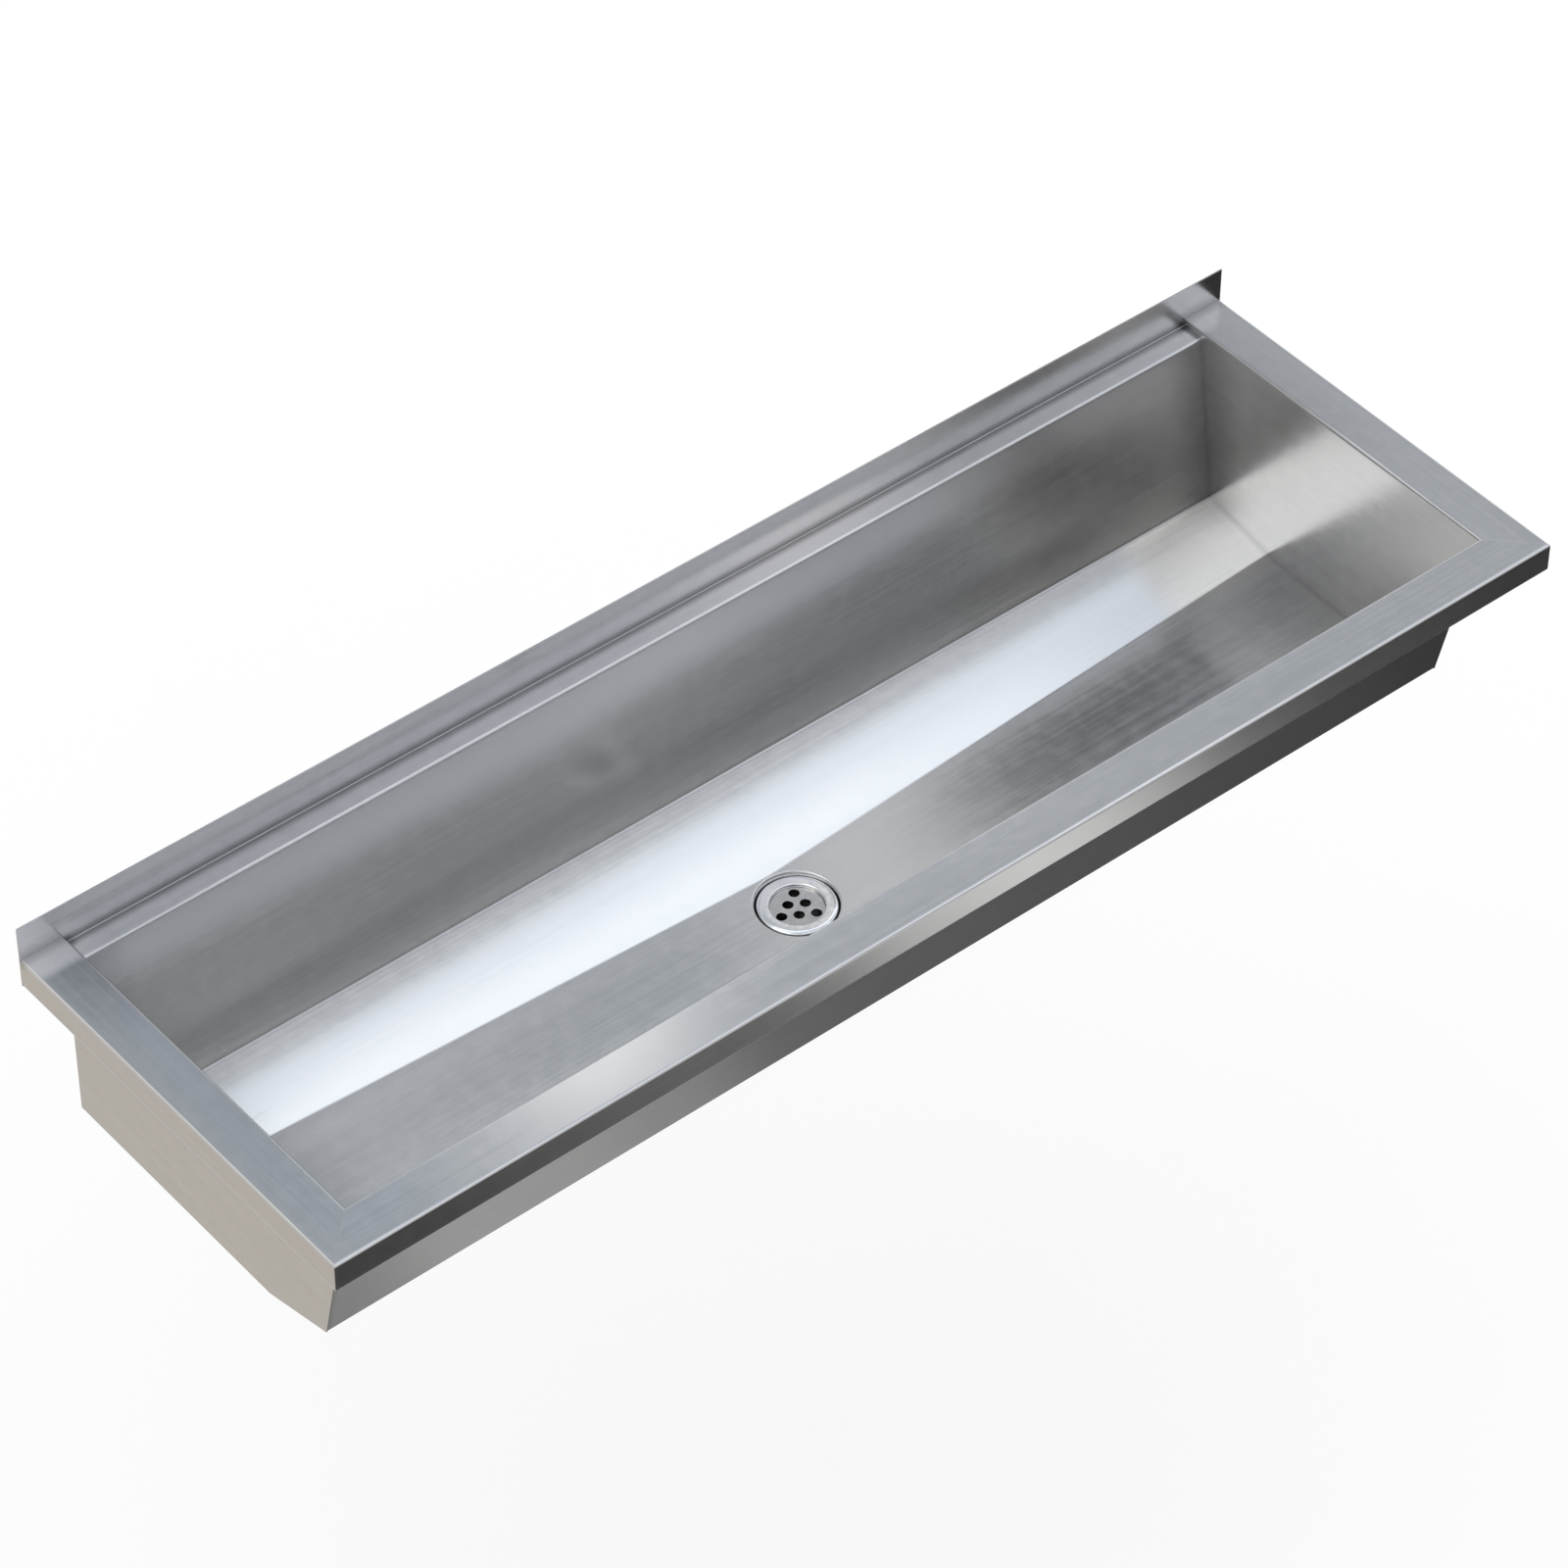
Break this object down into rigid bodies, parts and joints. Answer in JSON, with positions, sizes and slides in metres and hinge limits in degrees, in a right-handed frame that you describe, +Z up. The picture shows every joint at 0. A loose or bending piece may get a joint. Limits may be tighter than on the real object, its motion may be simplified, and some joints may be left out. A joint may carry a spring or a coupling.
{
  "type": "trough sink",
  "caption": "Wall-hung stainless steel trough sink with a flat rim, low rear upstand, creased floor falling to a central waste, end plates and wall brackets.",
  "frame": {"origin": "on the wall, at mid length and at the level of the flat rim: a point of the upstand's rear face", "axes": "X along the trough, +Y into the wall, +Z up; the front lip is at -Y"},
  "size_m": [1.2, 0.39, 0.2717],
  "materials": {
    "sheet_steel": "fine satin grain along each sheet",
    "polished_steel": "polished",
    "zinc_strip": "zinc plated, dull",
    "fastener_steel": "plain bright",
    "seal_rubber": "matt",
    "washer_plastic": "matt white",
    "nut_brass": "plain turned",
    "damping_rubber": "matt, slightly grained"
  },
  "bodies": {
    "root": {"basin_pan": "sheet_steel", "rear_ledge": "sheet_steel", "front_rim": "sheet_steel", "left_rim": "sheet_steel", "right_rim": "sheet_steel", "left_end_plate": "sheet_steel", "right_end_plate": "sheet_steel", "left_hanger_hook": "zinc_strip", "right_hanger_hook": "zinc_strip", "left_wall_bracket": "zinc_strip", "right_wall_bracket": "zinc_strip", "waste_fitting": "polished_steel", "strainer": "polished_steel", "upper_seal": "seal_rubber", "lower_seal": "seal_rubber", "slip_washer": "washer_plastic", "back_nut": "nut_brass", "left_damping_pad": "damping_rubber", "right_damping_pad": "damping_rubber", "earth_stud": "fastener_steel", "earth_washer": "fastener_steel", "earth_tag": "nut_brass", "earth_nut": "fastener_steel"}
  },
  "joints": []
}
